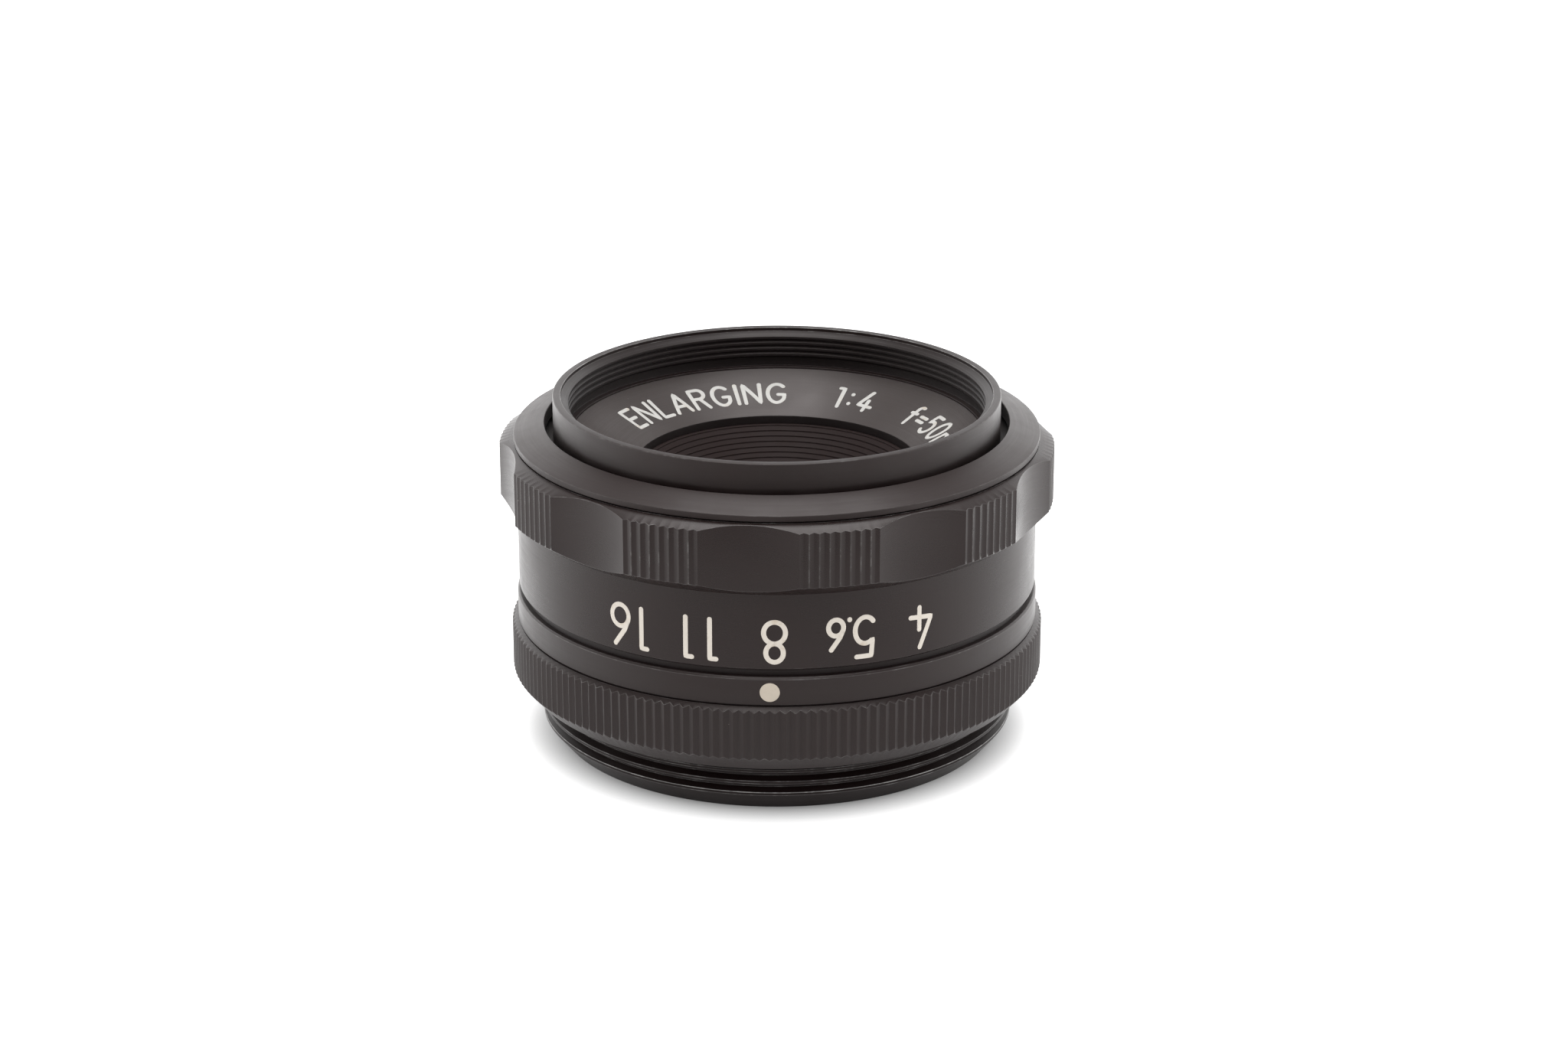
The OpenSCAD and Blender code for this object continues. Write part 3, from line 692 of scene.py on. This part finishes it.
def densified(path, step):
    """The same line with points no further apart than a step."""
    points = [path[0]]
    for a, b in zip(path, path[1:]):
        pieces = max(1, math.ceil(math.dist(a, b) / step))
        for i in range(1, pieces + 1):
            points.append((a[0] + (b[0] - a[0]) * i / pieces, a[1] + (b[1] - a[1]) * i / pieces))
    return points


def add_stroke(bm, path, width, height, place):
    """A line of paint with round ends. place(u, v, h) puts a flat point on the surface."""
    section = [(-1.0, -0.6), (-0.97, 0.45), (-0.8, 0.85), (0.0, 1.0), (0.8, 0.85), (0.97, 0.45),
               (1.0, -0.6)]
    half = width / 2
    points = densified(path, 0.12)
    fan = 12

    def row(point, across, shape):
        return [bm.verts.new(place(
            point[0] + across[0] * half * s, point[1] + across[1] * half * s, height * h))
            for s, h in shape]

    def join(lines):
        for here, there in zip(lines, lines[1:]):
            for k in range(len(here) - 1):
                bm.faces.new((here[k], here[k + 1], there[k + 1], there[k]))

    def heading(i):
        a, b = points[max(i - 1, 0)], points[min(i + 1, len(points) - 1)]
        length = math.dist(a, b) or 1.0
        return (b[0] - a[0]) / length, (b[1] - a[1]) / length

    lines = []
    for i in range(len(points)):
        d = heading(i)
        lines.append(row(points[i], (-d[1], d[0]), section))
    join(lines)
    ends = ((points[0], heading(0), -1), (points[-1], heading(len(points) - 1), 1))
    for point, d, sign in ends:
        spokes = []
        for i in range(fan + 1):
            turn = -math.pi / 2 + math.pi * i / fan
            c, s = math.cos(turn), math.sin(turn)
            across = (sign * (d[0] * c - d[1] * s), sign * (d[0] * s + d[1] * c))
            spokes.append(row(point, across, section[3:]))
        join(spokes)


def text_width(text, size, gap):
    return sum(FIGURES[c][0] * size + gap for c in text) - gap


def add_text(bm, text, size, gap, width, height, place, start=None):
    """Strokes of a word, centred, or from a start. place takes flat (u, v, h)."""
    at = -text_width(text, size, gap) / 2 if start is None else start
    for c in text:
        for path in FIGURES[c][1]:
            add_stroke(bm, [(at + x * size, y * size) for x, y in path], width, height, place)
        at += FIGURES[c][0] * size + gap
    return at


def make_scale():
    """The f-numbers on the skirt, read with the front of the lens down."""
    size, stroke, proud = 3.33, 0.40, 0.014
    base_z = 17.06
    stops = {"4": 33.5, "5.6": 17.2, "8": 1.0, "11": -14.7, "16": -31.3}
    bm = bmesh.new()
    for text, angle in stops.items():
        def place(u, v, h, angle=angle):
            return placed(SKIRT_R + h, angle - math.degrees(u / SKIRT_R), base_z - v)
        if text == "5.6":  # the figure after the point is smaller
            end = add_text(bm, "5.", size, 0.25, stroke, proud, place, -1.95)
            add_text(bm, "6", size * 0.75, 0, stroke, proud, place, end + 0.05)
        else:
            gap = 1.3 if text == "11" else 1.05
            add_text(bm, text, size, gap, stroke, proud, place)
    return finished("scale_figures", bm, 60)


def make_name_figures():
    """Plain generic lettering on the name cone, read from the front."""
    size, stroke, proud = 2.25, 0.36, 0.012
    low_r, middle_r = 12.95, 13.9
    slope = math.atan2(NAME_TOP - NAME_HOLE_Z, NAME_R - NAME_HOLE_R)
    words = (("ENLARGING", 243, 0.62), ("1:4", 160, 0.72), ("f=50mm", 128, 0.55))
    bm = bmesh.new()
    for text, start_angle, gap in words:
        def place(u, v, h):
            r = low_r + v * math.cos(slope)
            z = NAME_HOLE_Z + (r - NAME_HOLE_R) * math.tan(slope)
            return placed(r - h * math.sin(slope), start_angle - math.degrees(u / middle_r),
                          z + h * math.cos(slope))
        add_text(bm, text, size, gap, stroke, proud, place, 0.0)
    return finished("name_figures", bm, 60)


def make_index_dot():
    """Cream inlay with a soft crown in the plain band."""
    radius, crown, count = 0.785, 0.012, 64
    bm = bmesh.new()
    rings = [(0.0, 1.0), (0.4, 0.95), (0.75, 0.8), (0.93, 0.5), (1.0, 0.0), (1.0, -8.0)]
    lines = []
    for share, rise in rings:
        line = []
        for i in range(count):
            a = 2 * math.pi * i / count
            u, v = radius * share * math.cos(a), radius * share * math.sin(a)
            line.append(bm.verts.new(placed(
                BAND_R + crown * rise, math.degrees(u / BAND_R), DOT_Z + v)))
        lines.append(line)
    for here, there in zip(lines, lines[1:]):
        for i in range(count):
            bm.faces.new((here[i - 1], here[i], there[i], there[i - 1]))
    bm.faces.new(lines[-1])
    return finished("index_inlay", bm, 50)


# ---- stage --------------------------------------------------------------------------

def make_stage():
    """Pale floor, far wider than the lens, with a painted glow: it shines more at the back and
    sides than in front.

    The glow fades to nothing near the lens, which paints the floor round the lens darker as a
    contact shadow.
    """
    bm = bmesh.new()
    half_side = 3.0
    corners = [(-half_side, -half_side), (half_side, -half_side), (half_side, half_side),
               (-half_side, half_side)]
    bm.faces.new([bm.verts.new((x, y, 0)) for x, y in corners])
    floor = finished("floor", bm)
    material = bpy.data.materials.new("floor")
    t = Tree(material)
    plain = t.add("ShaderNodeTexCoord").outputs["Object"]
    split = t.add("ShaderNodeSeparateXYZ", {0: plain})
    shade = t.mix(t.noise(plain, 60.0, 3.0), grey(0.36, 0.006), grey(0.38, 0.004))
    # Painted light: the floor's glow is stronger behind and beside the lens and weaker in front.
    back = t.ramp(split.outputs[1], -0.04, 0.12, 0.0, 0.5)
    side = t.ramp(t.maths("ABSOLUTE", split.outputs[0]), 0.03, 0.12, 0.0, 0.8)
    # Painted shadow: the glow falls to nothing within about 21 mm of the axis, darkening the floor
    # round the lens.
    away = t.ramp(t.radius(split), 0.0172, 0.0212)
    front = t.ramp(split.outputs[1], -0.12, -0.06, 0.28, 0.62)
    painted_floor_glow = t.maths("MULTIPLY", t.maths("ADD", t.maths("ADD", back, side), front), away)
    t.principled({
        "Base Color": shade, "Roughness": 0.8, "Emission Color": (1, 1, 1, 1),
        "Emission Strength": painted_floor_glow})
    floor.data.materials.append(material)


def make_world():
    """White studio: a box overhead, white walls behind and beside, dimmer on the camera's side."""
    world = bpy.data.worlds.new("studio")
    bpy.context.scene.world = world
    t = Tree(world)
    where = t.add("ShaderNodeTexCoord").outputs["Generated"]
    split = t.add("ShaderNodeSeparateXYZ", {0: where})
    rise = split.outputs[2]
    walls = t.ramp(rise, 0.44, 0.70, 2.2, 0.9)
    behind = t.ramp(split.outputs[1], 0.6, 0.95, 1.0, 0.72)
    dimmer = t.ramp(split.outputs[1], -0.2, -0.8, 1.0, 0.3)
    width = t.ramp(t.maths("ABSOLUTE", split.outputs[0]), 0.26, 0.42, 5.0, 0.0)
    overhead = t.maths("MULTIPLY", width, t.ramp(rise, 0.76, 0.90, 0.0, 1.3))
    overhead = t.maths("MULTIPLY", overhead, t.ramp(split.outputs[1], 0.30, 0.50, 0.7, 1.0))
    walls = t.maths("MULTIPLY", t.maths("MULTIPLY", walls, dimmer), behind)
    strength = t.maths("ADD", walls, overhead)
    back = t.add("ShaderNodeBackground", {"Color": (1, 1, 1, 1), "Strength": strength})
    t.add("ShaderNodeOutputWorld", {0: back.outputs[0]})


def make_camera():
    """Long lens a little over twenty degrees above the table, just right of the index dot."""
    distance, elevation, azimuth = 307.4, 20.08, 1.4
    aim_z, sideways = 17.40, 0.585
    e, a = math.radians(elevation), math.radians(azimuth)
    data = bpy.data.cameras.new("camera")
    data.lens = 85.49
    data.sensor_width = 36
    data.clip_start = 0.01
    camera = bpy.data.objects.new("camera", data)
    flat = distance * math.cos(e)
    camera.location = Vector((
        flat * math.sin(a) + sideways * math.cos(a),
        -flat * math.cos(a) + sideways * math.sin(a),
        aim_z + distance * math.sin(e))) * MM
    camera.rotation_euler = (math.pi / 2 - e, 0, a)
    bpy.context.scene.collection.objects.link(camera)
    bpy.context.scene.camera = camera


# ---- assembly -----------------------------------------------------------------------

make_camera()
make_stage()
make_world()
bpy.context.scene.view_settings.view_transform = "Standard"

for row in frame["record"]["subparts"]:
    cad = frame["nodes"][row["node"]]
    cad.data.materials.clear()
    cad.data.materials.append(SLOT_LOOKS[row["material_slot"]])

base = dress(make_base(), "barrel", "satin_black", SATIN, "mount_base")
# Painted shade on the thread below the flange.
repaint(base, THREAD_R + 0.1, -0.1, 4.3, THREAD_SHADED_BLACK)
dress(make_index_dot(), "barrel", "index_paint", CREAM, "index_dot")
front_ring = dress(make_front_ring(), "barrel", "satin_black", SATIN, "front_ring")
# Painted shade inside the front ring, on the filter thread.
repaint(front_ring, FILTER_R + 0.6, 25.66, FRONT_TOP - 0.35, INNER_BLACK_AND_RECESS_SHADE)
repaint(front_ring, FRONT_R - 0.03, FRONT_TOP - 0.35, FRONT_TOP + 0.1, LIP_BLACK)
name_ring = dress(make_name_ring(), "barrel", "name_ring_black", NAME_BLACK, "name_ring")
# Painted shade on the bore of the name ring's hole.
repaint(name_ring, NAME_HOLE_R + 0.04, 22.0, NAME_HOLE_Z - 0.02, INNER_BLACK_AND_RECESS_SHADE)
dress(make_name_figures(), "barrel", "scale_paint", LETTER_FILL)
dress(make_front_baffle(), "barrel", "baffle_black", BAFFLE_BLACK, "front_baffle")
dress(make_rear_baffle(), "barrel", "baffle_black", BAFFLE_BLACK, "rear_baffle")
dress(make_lens("front_lens", 7.2, (20.82, 17), (18.62, 1e4)), "barrel", "glass", FRONT_GLASS,
      "front_element")
dress(make_lens("middle_lens", 6.3, (17.62, -35), (16.82, 16)), "barrel", "glass", INNER_GLASS,
      "middle_element")
dress(make_lens("rear_inner_lens", 7.2, (11.6, 1e4), (10.81, 15.4)), "barrel", "glass", INNER_GLASS,
      "rear_element_inner")
dress(make_lens("rear_outer_lens", 7.2, (10.8, 15.4), (7.2, -22)), "barrel", "glass", FRONT_GLASS,
      "rear_element_outer")
dress(make_aperture_ring(), "aperture_control", "satin_black", SATIN_GRIP, "aperture_ring")
dress(make_cap(), "aperture_control", "satin_black", SATIN_CAP, "ring_cap")
dress(make_scale(), "aperture_control", "scale_paint", WHITE_FILL)
